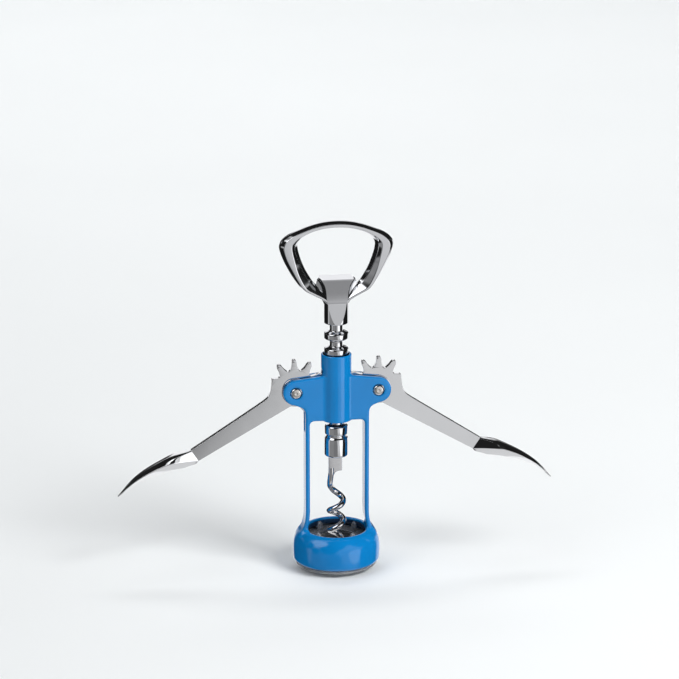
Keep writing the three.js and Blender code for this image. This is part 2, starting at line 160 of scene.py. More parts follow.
def lathe(profile, segments=96):
    """A solid of revolution about Z. A profile that starts and ends on the axis is closed there by fans;
    any other profile closes on itself."""
    profile = np.asarray(profile, float)
    on_axis = profile[0][0] < 1e-6 and profile[-1][0] < 1e-6
    angles = np.linspace(0, 2 * math.pi, segments, endpoint=False)
    rim = profile[1:-1] if on_axis else profile
    vertices = [(r * math.cos(a), r * math.sin(a), z) for r, z in rim for a in angles]
    rows = len(rim)
    faces = []
    for i in range(rows - 1 if on_axis else rows):
        for j in range(segments):
            k = (j + 1) % segments
            low, high = i * segments, ((i + 1) % rows) * segments
            faces.append([low + j, low + k, high + k, high + j])
    if on_axis:
        first = len(vertices)
        vertices += [(0, 0, profile[0][1]), (0, 0, profile[-1][1])]
        for j in range(segments):
            k = (j + 1) % segments
            faces.append([first, k, j])
            faces.append([first + 1, (rows - 1) * segments + j, (rows - 1) * segments + k])
    return np.array(vertices), faces


def loft(rings):
    """A closed skin over rings with the same number of points, capped by fans at both ends."""
    rings = np.asarray(rings, float)
    rows, count, _ = rings.shape
    vertices = np.vstack([rings.reshape(-1, 3), rings[0].mean(0), rings[-1].mean(0)])
    faces = []
    for i in range(rows - 1):
        for j in range(count):
            k = (j + 1) % count
            faces.append([i * count + j, i * count + k, (i + 1) * count + k, (i + 1) * count + j])
    last = (rows - 1) * count
    for j in range(count):
        k = (j + 1) % count
        faces.append([rows * count, k, j])
        faces.append([rows * count + 1, last + j, last + k])
    return vertices, faces


def inset(loop, distance):
    """A closed loop moved sideways, to its left, by a distance."""
    loop = np.asarray(loop, float)
    ahead = np.roll(loop, -1, axis=0) - loop
    ahead /= np.linalg.norm(ahead, axis=1)[:, None]
    left = np.stack([-ahead[:, 1], ahead[:, 0]], 1)
    before = np.roll(left, 1, axis=0)
    closeness = np.maximum(1 + (left * before).sum(1), 0.6)
    return loop + distance * (left + before) / closeness[:, None]


def plate(outline, holes, thickness, bevel, steps=3):
    """A flat plate in the XZ plane, centred on Y = 0, with its outer and hole edges rounded."""
    half = thickness / 2
    turns = np.linspace(0, math.pi / 2, steps + 1)
    edge = [(bevel * (1 - math.sin(t)), -half + bevel * (1 - math.cos(t))) for t in turns]
    edge += [(d, -y) for d, y in edge[::-1]]
    vertices, faces, caps = [], [], []
    for loop in [outline, *holes]:
        loop = np.array([p[:2] for p in loop], float)
        keep = np.linalg.norm(loop - np.roll(loop, 1, axis=0), axis=1) > 1e-4
        loop = loop[keep]
        area = (loop[:, 0] * np.roll(loop[:, 1], -1) - loop[:, 1] * np.roll(loop[:, 0], -1)).sum()
        if (area > 0) != (not caps):
            loop = loop[::-1]
        first, count = len(vertices), len(loop)
        for distance, y in edge:
            vertices += [(x, y, z) for x, z in inset(loop, distance)]
        for i in range(len(edge) - 1):
            for j in range(count):
                k = (j + 1) % count
                low = first + i * count
                faces.append([low + j, low + k, low + count + k, low + count + j])
        caps.append((first, first + (len(edge) - 1) * count, count))
    for end in (0, 1):
        bm = bmesh.new()
        lookup = {}
        for cap in caps:
            points = []
            for i in range(cap[2]):
                points.append(bm.verts.new(vertices[cap[end] + i]))
                lookup[points[-1]] = cap[end] + i
            for p, q in zip(points, points[1:] + points[:1]):
                bm.edges.new((p, q))
        bmesh.ops.triangle_fill(bm, use_beauty=True, use_dissolve=False, edges=bm.edges[:])
        faces += [[lookup[v] for v in f.verts] for f in bm.faces]
        bm.free()
    return np.array(vertices), faces


def about_z(part, angle):
    vertices, faces = part
    c, s = math.cos(angle), math.sin(angle)
    turned = vertices @ np.array([[c, s, 0], [-s, c, 0], [0, 0, 1]])
    return turned, faces


# ================================================================ node materials


class Shader:
    """A node material under construction."""

    def __init__(self, name, **constants):
        self.material = bpy.data.materials.new(name)
        self.material.use_nodes = True
        self.tree = self.material.node_tree
        self.principled = self.tree.nodes["Principled BSDF"]
        for socket, value in constants.items():
            self.principled.inputs[socket.replace("_", " ")].default_value = value
        self.where = self.add("ShaderNodeTexCoord").outputs["Object"]

    def add(self, kind, **settings):
        node = self.tree.nodes.new(kind)
        for key, value in settings.items():
            setattr(node, key, value)
        return node

    def link(self, source, target):
        self.tree.links.new(source, target)

    def noise(self, scale, detail=3.0, stretch=None):
        node = self.add("ShaderNodeTexNoise")
        node.inputs["Scale"].default_value = scale
        node.inputs["Detail"].default_value = detail
        source = self.where
        if stretch:
            mapping = self.add("ShaderNodeMapping")
            mapping.inputs["Scale"].default_value = stretch
            self.link(source, mapping.inputs["Vector"])
            source = mapping.outputs["Vector"]
        self.link(source, node.inputs["Vector"])
        return node.outputs["Fac"]

    def ramp(self, source, stops):
        node = self.add("ShaderNodeValToRGB")
        elements = node.color_ramp.elements
        while len(elements) < len(stops):
            elements.new(0.5)
        for element, (position, value) in zip(elements, stops):
            element.position = position
            colour = value if isinstance(value, tuple) else (value, value, value)
            element.color = (*colour, 1)
        self.link(source, node.inputs["Fac"])
        return node.outputs["Color"]

    def drive(self, socket, source):
        self.link(source, self.principled.inputs[socket])

    def bump(self, source, strength, distance):
        node = self.add("ShaderNodeBump")
        node.inputs["Strength"].default_value = strength
        node.inputs["Distance"].default_value = distance
        self.link(source, node.inputs["Height"])
        previous = self.principled.inputs["Normal"]
        if previous.links:
            self.link(previous.links[0].from_socket, node.inputs["Normal"])
        self.link(node.outputs["Normal"], previous)


def enamel_material():
    made = Shader("blue_enamel_gloss", IOR=1.5, Coat_Weight=0.3, Coat_Roughness=0.04, Coat_IOR=1.5)
    cloud = made.noise(55, 2)
    deep, light = (0.002, 0.180, 0.480), (0.003, 0.203, 0.540)
    made.drive("Base Color", made.ramp(cloud, [(0.3, deep), (0.7, light)]))
    made.drive("Roughness", made.ramp(made.noise(900, 4), [(0.35, 0.07), (0.75, 0.13)]))
    made.bump(made.noise(260, 1.5), 0.1, 0.0002)
    made.bump(made.noise(2600, 2), 0.05, 0.00005)
    return made.material


def chrome_material(name, tint, low, high, grain):
    made = Shader(name, Metallic=1.0, IOR=2.5)
    shade = made.noise(40, 3)
    dark = tuple(0.93 * c for c in tint)
    made.drive("Base Color", made.ramp(shade, [(0.3, dark), (0.75, tint)]))
    made.drive("Roughness", made.ramp(made.noise(700, 5, grain), [(0.3, low), (0.8, high)]))
    made.bump(made.noise(1500, 4, grain), 0.03, 0.00004)
    made.bump(made.noise(120, 1), 0.05, 0.00015)
    return made.material


def pin_material():
    made = Shader("rivet_steel", Metallic=1.0)
    worn, clean = (0.85, 0.82, 0.77), (1.0, 0.98, 0.94)
    made.drive("Base Color", made.ramp(made.noise(900, 4), [(0.3, worn), (0.7, clean)]))
    made.drive("Roughness", made.ramp(made.noise(1500, 4), [(0.3, 0.12), (0.8, 0.24)]))
    made.bump(made.noise(900, 3), 0.18, 0.0001)
    return made.material


def liner_material():
    made = Shader("liner_plastic_painted_light_and_shade", Transmission_Weight=0.8, IOR=1.49)
    cloud = made.ramp(made.noise(120, 2), [(0.3, (0.90, 0.92, 0.94)), (0.7, (1.0, 1.0, 1.0))])
    # Painted light and shade by height: the flange and the finger tips are painted pale as light, the skirt
    # and the deck dark as shade.
    painted_light_flange, painted_shade_deck = (0.93, 0.95, 0.97), (0.40, 0.42, 0.46)
    height = made.add("ShaderNodeSeparateXYZ")
    made.link(made.where, height.inputs["Vector"])
    share = made.add("ShaderNodeMapRange")
    share.inputs["From Max"].default_value = 0.015
    made.link(height.outputs["Z"], share.inputs["Value"])
    stops = [(0.04, painted_light_flange), (0.09, (0.45, 0.48, 0.52)), (0.72, painted_shade_deck), (0.84, (0.95, 0.95, 0.97))]
    deep = made.ramp(share.outputs["Result"], stops)
    mix = made.add("ShaderNodeMix", data_type="RGBA", blend_type="MULTIPLY")
    mix.inputs["Factor"].default_value = 1.0
    made.link(cloud, mix.inputs[6])
    made.link(deep, mix.inputs[7])
    made.drive("Base Color", mix.outputs[2])
    made.drive("Roughness", made.ramp(made.noise(500, 4), [(0.3, 0.06), (0.8, 0.2)]))
    made.bump(made.noise(400, 2), 0.08, 0.0001)
    return made.material


def painted_shade_enamel_material():
    # A darker navy enamel: painted shade for the faces inside the bell, the tube and the slots.
    made = Shader("enamel_painted_shade", IOR=1.5)
    deep, light = (0.004, 0.030, 0.080), (0.006, 0.045, 0.120)
    made.drive("Base Color", made.ramp(made.noise(300, 3), [(0.3, deep), (0.7, light)]))
    made.drive("Roughness", made.ramp(made.noise(700, 4), [(0.35, 0.25), (0.75, 0.4)]))
    made.bump(made.noise(600, 3), 0.2, 0.0001)
    return made.material


ENAMEL = enamel_material()
PAINTED_SHADE_ENAMEL = painted_shade_enamel_material()
CHROME = chrome_material("chrome_polished", (0.82, 0.83, 0.85), 0.03, 0.08, (1, 1, 1))
LEVER_CHROME = chrome_material("chrome_lever", (0.86, 0.87, 0.88), 0.04, 0.08, (1, 1, 6))
WORM_STEEL = chrome_material("worm_polished", (0.78, 0.78, 0.79), 0.05, 0.14, (1, 1, 8))
RIVET = pin_material()
LINER = liner_material()

# ================================================================ frame casting, as a smooth field

HEAD_HALF_DEPTH = 4.2
TUBE_R = 6.5
BORE_R = RING_R + CLEARANCE
WINDOW_TOP_Z = 64.6
LEG_IN = 11.8
LEG_OUT = 13.6
EAR_R = 5.5
SLOT_HALF = HUB_THICKNESS / 2 + CLEARANCE
SWEEP_R = TIP_RADIUS + 0.6
NOTCH_DEPTH = 0.7
RIM_Z = 14.4
CAVITY_R = 16.3
BELL_BLEND = 2.2
SOFT_EDGE = 0.35
CELL = 0.33


def polygon_distance(px, pz, points):
    """Signed distance to a closed polygon, below zero inside."""
    shape = np.broadcast(px, pz).shape
    best = np.full(shape, 1e9, np.float32)
    inside = np.zeros(shape, bool)
    for (ax, az), (bx, bz) in zip(points, np.roll(points, -1, axis=0)):
        ex, ez = bx - ax, bz - az
        wx, wz = px - ax, pz - az
        t = np.clip((wx * ex + wz * ez) / (ex * ex + ez * ez + 1e-12), 0, 1)
        best = np.minimum(best, (wx - t * ex) ** 2 + (wz - t * ez) ** 2)
        if abs(ez) > 1e-9:
            crosses = (az > pz) != (bz > pz)
            inside ^= crosses & (px < ax + ex * (pz - az) / ez)
    return np.where(inside, -1, 1) * np.sqrt(best)


def rounded_corner(a, b, radius):
    """The distance to where two half-spaces meet, with the edge rounded."""
    u, v = a + radius, b + radius
    return np.minimum(np.maximum(u, v), 0) + np.hypot(np.maximum(u, 0), np.maximum(v, 0)) - radius


def blend_union(a, b, k):
    h = np.clip(0.5 + 0.5 * (b - a) / k, 0, 1)
    return b + (a - b) * h - k * h * (1 - h)


def carve(a, b, k):
    """a with b taken out, its new edges eased over k."""
    return -blend_union(-a, b, k)


def yoke_outline():
    top = PIVOT_Z + 6.9
    points = [(-8, top), (6.2, top)]
    for degrees in range(83, -91, -12):
        angle = math.radians(degrees)
        points.append((PIVOT_X + EAR_R * math.cos(angle), PIVOT_Z + EAR_R * math.sin(angle)))
    corner = [(PIVOT_X, PIVOT_Z - EAR_R, 0), (LEG_OUT + 0.2, PIVOT_Z - 7.3, 2.2), (LEG_OUT, PIVOT_Z - 12, 0)]
    points += [tuple(p) for p in fillet(corner)[1:]]
    flare = [(LEG_OUT, 24), (13.75, 21), (14.2, 18.4), (14.95, 16.2), (15.9, 14.4), (16.3, 13.0)]
    points += [tuple(p) for p in spline(flare, 16)]
    points += [(15.6, 11.4), (14.2, 12.2), (13.2, 14.6), (12.5, 17.4), (LEG_IN + 0.2, 20.5), (LEG_IN, 24)]
    window = [(LEG_IN, 30, 0), (LEG_IN, WINDOW_TOP_Z, 3.4), (7, WINDOW_TOP_Z - 0.1, 0)]
    points += [tuple(p) for p in fillet(window)[1:]]
    points.append((-8, WINDOW_TOP_Z - 0.1))
    return np.array(points)


def bell_outline():
    wall = [
        (16.2, BELL_BOTTOM_Z, 0.3), (17.6, BELL_BOTTOM_Z, 0.5), (18.6, 2.2, 1.0), (BELL_R, 5.2, 1.5),
        (18.65, 8.6, 1.5), (18.2, 11.0, 1.2), (17.1, 13.1, 1.2), (15.4, 14.65, 1.2), (13.7, 15.15, 0.7),
        (12.85, 15.0, 0.5), (12.75, 13.2, 0.5), (13.6, 11.8, 0.5), (16.2, 11.5, 0.6),
    ]
    return np.array(fillet(wall, closed=True, steps=3))


YOKE = yoke_outline()
BELL = bell_outline()


def frame_field(x, y, z):
    """Distance-like field of the casting at points in millimetres."""
    side = np.abs(x)
    depth = np.abs(y)
    radius = np.hypot(x, y)
    to_pivot = np.hypot(side - PIVOT_X, z - PIVOT_Z)
    yoke = rounded_corner(polygon_distance(side, z, YOKE), depth - HEAD_HALF_DEPTH, 0.75)
    tube_foot_z = WINDOW_TOP_Z - 0.7
    middle = (TUBE_TOP_Z + tube_foot_z) / 2
    tube = rounded_corner(radius - TUBE_R, np.abs(z - middle) - (TUBE_TOP_Z - middle), 0.55)
    field = blend_union(yoke, tube, 0.9)
    if np.min(z) < 26:  # the bell ends well below this height
        field = blend_union(field, polygon_distance(radius, z, BELL), BELL_BLEND)
    field = carve(field, radius - BORE_R, SOFT_EDGE)
    sweep = np.maximum(to_pivot - SWEEP_R, depth - SLOT_HALF)
    notch_low_z = WINDOW_TOP_Z - 5.3
    notch = np.maximum(np.maximum(LEG_OUT - NOTCH_DEPTH - side, notch_low_z - z), depth - SLOT_HALF)
    field = carve(field, np.minimum(sweep, notch), SOFT_EDGE)
    return carve(field, to_pivot - PIN_R - CLEARANCE, 0.25)


def surface_net(sample, low, high, step):
    """A quad mesh on the zero level of sample(x, y, z), one vertex per cell that the surface crosses."""
    axes = [np.arange(a, b + step, step, dtype=np.float32) for a, b in zip(low, high)]
    x = axes[0][:, None, None]
    y = axes[1][None, :, None]
    slabs = [sample(x, y, axes[2][None, None, k : k + 24]) for k in range(0, len(axes[2]), 24)]
    field = np.concatenate([np.broadcast_to(s, (len(axes[0]), len(axes[1]), s.shape[2])) for s in slabs], 2)
    inside = field < 0
    corners = np.array([(i, j, k) for i in (0, 1) for j in (0, 1) for k in (0, 1)])
    ends = (slice(None, -1), slice(1, None))
    count = sum(inside[ends[i], ends[j], ends[k]].astype(np.int8) for i, j, k in corners)
    cells = np.argwhere((count > 0) & (count < 8))
    index = np.full(count.shape, -1, np.int64)
    index[tuple(cells.T)] = np.arange(len(cells))
    values = np.stack([field[tuple((cells + c).T)] for c in corners], 1)
    total = np.zeros((len(cells), 3))
    hits = np.zeros(len(cells))
    for a in range(8):
        for axis in range(3):
            if corners[a][axis]:
                continue
            near, far = values[:, a], values[:, a + (4, 2, 1)[axis]]
            crossing = (near < 0) != (far < 0)
            point = np.tile(corners[a].astype(float), (crossing.sum(), 1))
            point[:, axis] = near[crossing] / (near[crossing] - far[crossing])
            total[crossing] += point
            hits[crossing] += 1
    vertices = np.array([a[0] for a in axes]) + step * (cells + total / hits[:, None])
    faces = []
    for axis in range(3):
        u, v = np.eye(3, dtype=int)[(axis + 1) % 3], np.eye(3, dtype=int)[(axis + 2) % 3]
        low_end = [slice(None)] * 3
        high_end = [slice(None)] * 3
        low_end[axis] = slice(None, -1)
        high_end[axis] = slice(1, None)
        starts = inside[tuple(low_end)]
        at = np.argwhere(starts != inside[tuple(high_end)])
        outward = starts[tuple(at.T)]
        ring = np.stack([index[tuple((at - d).T)] for d in (u + v, v, 0 * u, u)], 1)
        ring[~outward] = ring[~outward][:, ::-1]
        faces.append(ring)
    return vertices, np.vstack(faces)


def settle(points, sample, rounds=2):
    """Moves points along the field's gradient onto its zero level."""
    h = 0.02
    for _ in range(rounds):
        x, y, z = points.T
        value = sample(x, y, z)
        slope = np.stack([
            sample(x + h, y, z) - sample(x - h, y, z),
            sample(x, y + h, z) - sample(x, y - h, z),
            sample(x, y, z + h) - sample(x, y, z - h),
        ], 1) / (2 * h)
        size = np.maximum((slope**2).sum(1), 0.2)
        step = np.clip(value / size, -0.25, 0.25)
        points = points - slope * step[:, None]
    return points


def build_frame():
    reach = BELL_R + 1
    low = (-(PIVOT_X + EAR_R + 1), -reach, BELL_BOTTOM_Z - 1)
    high = (PIVOT_X + EAR_R + 1, reach, TUBE_TOP_Z + 1)
    vertices, faces = surface_net(frame_field, low, high, CELL * (1))
    vertices = settle(vertices, frame_field)
    casting = make_object("frame_casting", vertices, faces, ENAMEL, "frame", "blue_enamel", sharp_angle=180)
    # Inside the bell, and inside the tube and the slots, the faces get a darker navy enamel: painted shade.
    casting.data.materials.append(PAINTED_SHADE_ENAMEL)
    for face in casting.data.polygons:
        x, y, z = face.center / MM
        radius = math.hypot(x, y)
        inward = face.normal.x * x + face.normal.y * y < -0.3 * radius
        in_bell = z < RIM_Z and radius < CAVITY_R and inward
        if in_bell or (radius < BORE_R + 0.3 and z > WINDOW_TOP_Z - 4.6):
            face.material_index = 1
    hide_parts("frame")


# ================================================================ liner in the bell


def build_liner():
    outer, inner, hole, flange = 15.9, 15.1, 8.0, 17.5
    deck_low, deck_high, flange_high = 10.0, 11.2, 0.95
    finger_r, first_finger = 10.3, math.radians(-55)
    profile = fillet([
        (inner, 0, 0.3), (flange, 0, 0.35), (flange, flange_high, 0.3), (outer, flange_high, 0.2),
        (outer, deck_high, 0.5),
        (hole, deck_high, 0.4), (hole, deck_low, 0.4), (inner, deck_low, 0.6),
    ], closed=True, steps=4)
    liner = make_object("liner", *lathe(profile, 128), LINER, "frame", "clear_plastic", 35, True)
    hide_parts("bell_insert")
    finger = [(-1.4, deck_high - 0.1, 0), (1.4, deck_high - 0.1, 0), (1.15, 13.9, 0.7), (0.5, 14.9, 0.5),
              (-0.5, 14.9, 0.5), (-1.15, 13.9, 0.7)]
    shape = plate(fillet(finger, closed=True), [], 0.9, 0.25)
    placed = (shape[0] + np.array([0, finger_r, 0]), shape[1])
    parts = [about_z(placed, first_finger + i * math.pi / 2) for i in range(4)]
    make_object("liner_fingers", *join_parts(parts), LINER, "frame", "clear_plastic", 35, True)


# ================================================================ pivot pins


def build_pin(side, x):
    """A rivet along Y: each head is domed, with a small dimple at its middle."""
    half, sunk = PIN_HALF, PIN_HALF - 0.06
    head = [(PIN_R, half - 0.5, 0.3), (1.75, sunk, 0.3), (0.7, half, 0.2), (0.4, sunk, 0.15), (0, sunk, 0)]
    profile = fillet([(r, -y, soft) for r, y, soft in head[::-1]] + head)
    vertices, faces = lathe(profile, 64)
    lying = np.stack([vertices[:, 0] + x, -vertices[:, 2], vertices[:, 1] + PIVOT_Z], 1)
    pin = make_object(f"{side}_rivet", lying, faces, RIVET, "frame", "pin_steel", 50)
    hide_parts(f"{side}_pivot_pin")


# ================================================================ rack shaft


def build_shaft():
    gap_middle = PIVOT_Z + PITCH_RADIUS * TOOTH_LEAN - BACKLASH_TAKEN
    pitch_line = PIVOT_X - PITCH_RADIUS
    half_rim = RING_THICKNESS / 2 - (RING_R - pitch_line) * math.tan(PRESSURE_ANGLE)
    half_root = RING_THICKNESS / 2 + (pitch_line - CORE_R) * math.tan(PRESSURE_ANGLE)
    sleeve_top = gap_middle - 2.5 * RACK_PITCH + half_rim
    bottom = SHAFT_BOTTOM_Z
    bore_r, bore_top = 3.8, 58.9
    sleeve_r, crimp_r, crimp_z = 5.1, 4.4, 56.9
    spigot_r = 2.4
    profile = [
        (0, bore_top, 0), (bore_r, bore_top, 0.2), (bore_r, bottom + 0.4, 0.15), (4.1, bottom, 0.1),
        (4.75, bottom, 0.3), (sleeve_r, bottom + 0.55, 0.3), (sleeve_r, crimp_z - 3.4, 0.5),
        (4.95, crimp_z - 1, 0.15), (crimp_r, crimp_z - 0.35, 0.15), (crimp_r, crimp_z + 0.35, 0.15),
        (4.95, crimp_z + 1, 0.15), (5.0, sleeve_top - 0.6, 0.3), (4.5, sleeve_top, 0.2),
        (CORE_R, sleeve_top + 0.2, 0.5),
    ]
    for ring in range(-2, 4):
        z = gap_middle + (ring + 0.5) * RACK_PITCH
        profile += [
            (CORE_R, z - half_root - 0.15, 0.6), (RING_R, z - half_rim, 0.55),
            (RING_R, z + half_rim, 0.55), (CORE_R, z + half_root + 0.15, 0.6),
        ]
    shoulder = NECK_BOTTOM_Z - CLEARANCE
    profile += [(CORE_R, shoulder, 0.1), (spigot_r, shoulder, 0.1), (spigot_r, SHAFT_TOP_Z, 0.3)]
    profile.append((0, SHAFT_TOP_Z, 0))
    shaft = make_object("ringed_shaft", *lathe(fillet(profile, steps=4), 96), CHROME, "rack", "chrome", 50)
    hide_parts("rack_shaft")


# ================================================================ worm


def build_worm():
    helix_r, wire_r, pitch = 2.95, 1.3, 9.0
    lead_low, lead_high, start_r = 27.5, 40.0, 2.1
    top, tip = 42.3, WORM_TIP_Z

    def place(z):
        if z <= lead_low:
            angle, radius = 2 * math.pi * (z - lead_low) / pitch, helix_r
        else:
            u = min((z - lead_low) / (lead_high - lead_low), 1)
            slope = 2 * math.pi * (lead_high - lead_low) / pitch
            angle = slope * (u**3 - 2 * u**2 + u) + math.pi * (3 * u**2 - 2 * u**3)
            radius = helix_r + (start_r - helix_r) * u**2
        return np.array([radius * math.cos(angle), radius * math.sin(angle), z])

    sides, rows = 24, 420
    rings = []
    for z in np.linspace(top, tip, rows):
        middle = place(z)
        along = place(z - 0.02) - place(z + 0.02)
        along /= np.linalg.norm(along)
        out = np.array([middle[0], middle[1], 0.0])
        out /= np.linalg.norm(out)
        side = np.cross(along, out)
        side /= np.linalg.norm(side)
        out = np.cross(side, along)
        left = (z - tip) / 5.0
        wire = wire_r * max(0.05, min(1.0, left) ** 0.8)
        turn = np.linspace(0, 2 * math.pi, sides, endpoint=False)
        # The wire is rolled slightly flat inside, which leaves a soft ridge along the outer side.
        swell = 1 - 0.06 * np.clip(-np.cos(turn), 0, 1) ** 2 + 0.03 * np.cos(3 * turn)
        rings.append(middle + wire * swell[:, None] * (
            np.cos(turn)[:, None] * out + np.sin(turn)[:, None] * side))
    coil = loft(rings)
    tang = [
        (-3.4, 38.9, 0.5), (-1.6, 38.6, 0.6), (-0.95, 39.3, 0.8), (-0.55, 40.2, 0.8), (0.6, 40.9, 0.6),
        (2.4, 41.0, 0.25), (2.4, 58.3, 0.2), (-3.4, 58.3, 0.2),
    ]
    blade = plate(fillet(tang, closed=True), [], 1.8, 0.22)
    make_object("worm_tang", *blade, WORM_STEEL, "spindle", "worm_steel", 35, True)
    worm = make_object("worm_coil", *coil, WORM_STEEL, "spindle", "worm_steel", 60)
    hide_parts("worm")


# ================================================================ handle


def build_loop():
    """The finger loop: a bar with a flat front and back between wide bevels, thinner along its top."""
    # outer X, outer Z, inner X, inner Z, half depth, where the front flat starts and ends, inner fold
    right = [
        (4.0, 114.9, 2.0, 120.5, 3.0, 0.1, 0.3, 0.8), (6.4, 117.3, 4.5, 121.3, 3.0, 0.1, 0.28, 0.8),
        (10.2, 119.4, 7.4, 123.0, 3.05, 0.1, 0.28, 0.8), (14.3, 121.7, 9.6, 124.7, 3.1, 0.12, 0.3, 0.79),
        (17.5, 125.6, 11.6, 127.7, 3.1, 0.18, 0.38, 0.79), (20.2, 130.2, 13.5, 131.2, 3.1, 0.22, 0.48, 0.8),
        (22.6, 135.1, 15.3, 135.9, 3.1, 0.21, 0.6, 0.81), (24.0, 139.2, 16.2, 139.3, 3.05, 0.22, 0.64, 0.82),
        (24.1, 141.6, 16.3, 141.4, 3.0, 0.24, 0.66, 0.83), (22.6, 143.9, 15.5, 142.9, 2.95, 0.26, 0.68, 0.84),
        (19.8, 145.9, 14.0, 144.4, 2.9, 0.28, 0.7, 0.86), (15.6, 147.7, 11.8, 145.7, 2.85, 0.3, 0.7, 0.86),
        (10.9, 149.4, 9.0, 146.8, 2.8, 0.3, 0.7, 0.86), (5.8, 150.6, 5.0, 147.7, 2.8, 0.3, 0.7, 0.86),
        (0.0, 151.0, 0.0, 148.0, 2.8, 0.3, 0.7, 0.86),
    ]
    right = np.array(right)
    drawn_half_width, drawn_top = 24.2, 151.0
    right[:, 0] *= LOOP_HALF_WIDTH / drawn_half_width
    right[:, 1] += LOOP_TOP_Z - drawn_top
    left = right[:-1][::-1] * np.array([-1, 1, -1, 1, 1, 1, 1, 1])
    rings = []
    for ox, oz, ix, iz, half, start, end, fold in spline(np.vstack([right, left]), 200):
        outer, inner = np.array([ox, oz]), np.array([ix, iz])
        width = np.linalg.norm(outer - inner)
        half += 0.35
        # The inner facet leans further back low down, next to the cap lifter.
        fold_depth = 0.4 + 0.32 * min(max((iz - 124) / 9, 0), 1)
        front = [(0, -0.7, 0.3), (0.25 * start, -0.52 * half, 0.3), (start, -half, 0.2), (end, -half, 0.2),
                 (fold, -fold_depth * half, 0.25), (1, -0.3, 0.12)]
        back = [(t, -y, soft) for t, y, soft in front[::-1]]
        section = [(t * width, y, soft) for t, y, soft in front + back]
        across = (inner - outer) / width
        rings.append([
            (outer[0] + s * across[0], y, outer[1] + s * across[1])
            for s, y in fillet(section, closed=True, steps=3)
        ])
    return loft(rings)


def build_tongue():
    """The cap lifter: flat front and back, sides that sweep out to a wider middle."""
    # Z, half width of the front face, half width at the middle, half depth
    rows = [
        (114.6, 3.6, 4.9, 3.5), (115.4, 3.9, 5.3, 3.42), (116.4, 4.2, 5.8, 3.46), (118, 4.45, 6.9, 3.54),
        (120, 4.6, 8.1, 3.66), (122, 4.85, 8.8, 3.8), (123.6, 5.25, 8.7, 3.92), (124.9, 5.8, 8.45, 4.02),
        (125.9, 6.4, 8.05, 4.1), (126.6, 6.7, 7.35, 4.14),
    ]
    rings = []
    for z, front, middle, half in spline(rows, 40):
        quarter = []
        for t in np.linspace(0, 1, 7):
            hollow = np.array([front + 0.18 * (middle - front), -0.42 * half])
            start, end = np.array([front, -half]), np.array([middle, -0.5])
            p = (1 - t) ** 2 * start + 2 * t * (1 - t) * hollow + t * t * end
            quarter.append(p)
        front_face = [(f * front, -half) for f in (-0.96, -0.5, 0.0, 0.5, 0.96)]
        right_side = [tuple(p) for p in quarter] + [(p[0], -p[1]) for p in quarter[::-1]]
        back_face = [(-x, -y) for x, y in front_face]
        left_side = [(-x, -y) for x, y in right_side]
        rings.append([(x, y, z) for x, y in [*front_face, *right_side, *back_face, *left_side]])
    return loft(rings)


def build_neck():
    """The round neck with a slanted flat in front and behind, and the socket underneath."""
    outer, socket = 5.2, 2.7
    profile = fillet([
        (socket, NECK_BOTTOM_Z, 0.15), (outer, NECK_BOTTOM_Z, 0.5), (outer, 116.0, 0.4), (4.4, 117.4, 0.6),
        (2.8, 118.6, 0.1), (socket, 117.1, 0),
    ], closed=True, steps=4)
    vertices, faces = lathe(profile, 128)
    bm = bmesh.new()
    points = [bm.verts.new(v) for v in vertices]
    for face in faces:
        bm.faces.new([points[i] for i in face])
    for side in (-1, 1):
        foot = Vector((0, side * 5.3, NECK_BOTTOM_Z - 0.7))
        head = Vector((0, side * 3.42, 115.5))
        normal = (head - foot).cross(Vector((1, 0, 0))).normalized()
        if normal.y * side < 0:
            normal.negate()
        whole = bm.verts[:] + bm.edges[:] + bm.faces[:]
        cut = bmesh.ops.bisect_plane(
            bm, geom=whole, dist=1e-5, plane_co=head, plane_no=normal, clear_outer=True
        )
        rim = [e for e in cut["geom_cut"] if isinstance(e, bmesh.types.BMEdge)]
        bmesh.ops.triangle_fill(bm, use_beauty=True, edges=rim)
        bmesh.ops.recalc_face_normals(bm, faces=bm.faces[:])
        rim = [e for e in rim if e.is_valid and len(e.link_faces) == 2]
        bmesh.ops.bevel(
            bm, geom=rim, offset=0.12, segments=2, profile=0.5, affect="EDGES", clamp_overlap=True
        )
    bm.verts.index_update()
    vertices = np.array([tuple(v.co) for v in bm.verts])
    faces = [[v.index for v in f.verts] for f in bm.faces]
    bm.free()
    return vertices, faces


def build_handle():
    loop = make_object("finger_loop", *build_loop(), CHROME, "spindle", "chrome", 60, True)
    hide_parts("handle")
    make_object("cap_lifter", *build_tongue(), CHROME, "spindle", "chrome", 32, True)
    make_object("handle_neck", *build_neck(), CHROME, "spindle", "chrome", 32, True)


# ================================================================ levers


def polar(radius, angle):
    return radius * math.cos(angle), radius * math.sin(angle)


def lever_outline():
    points = [
        (41.5, -29.0, 0), (44.6, -24.2, 0), (15.6, -5.35, 3), (11.4, -2.4, 2.5), (10.35, 1.6, 1.5),
        (*polar(11.6, math.radians(29.6)), 0.3), (*polar(11.2, math.radians(32)), 0.3),
        (*polar(ROOT_RADIUS + 0.2, math.radians(40)), 1.2),
    ]
    first = math.pi / 2 - TOOTH_LEAN - 2 * math.pi / GEAR_TEETH
    # One flank of a tooth: radius, half angle, softness
    rise = [(ROOT_RADIUS + 0.05, 0.205, 0.9), (11.0, TOOTH_THICKNESS / 2 / PITCH_RADIUS, 0.8),
            (12.8, 0.083, 0), (13.5, 0.061, 0.35), (TIP_RADIUS, 0.022, 0.35)]
    for i in range(7):
        middle = first + 2 * math.pi * i / GEAR_TEETH
        points += [(*polar(r, middle - half), soft) for r, half, soft in rise]
        points += [(*polar(r, middle + half), soft) for r, half, soft in rise[::-1]]
    points += [(*polar(6.7, math.radians(d)), 1) for d in (257, 268, 278, 287)]
    return [tuple(p) for p in fillet(points, closed=True, steps=3)]


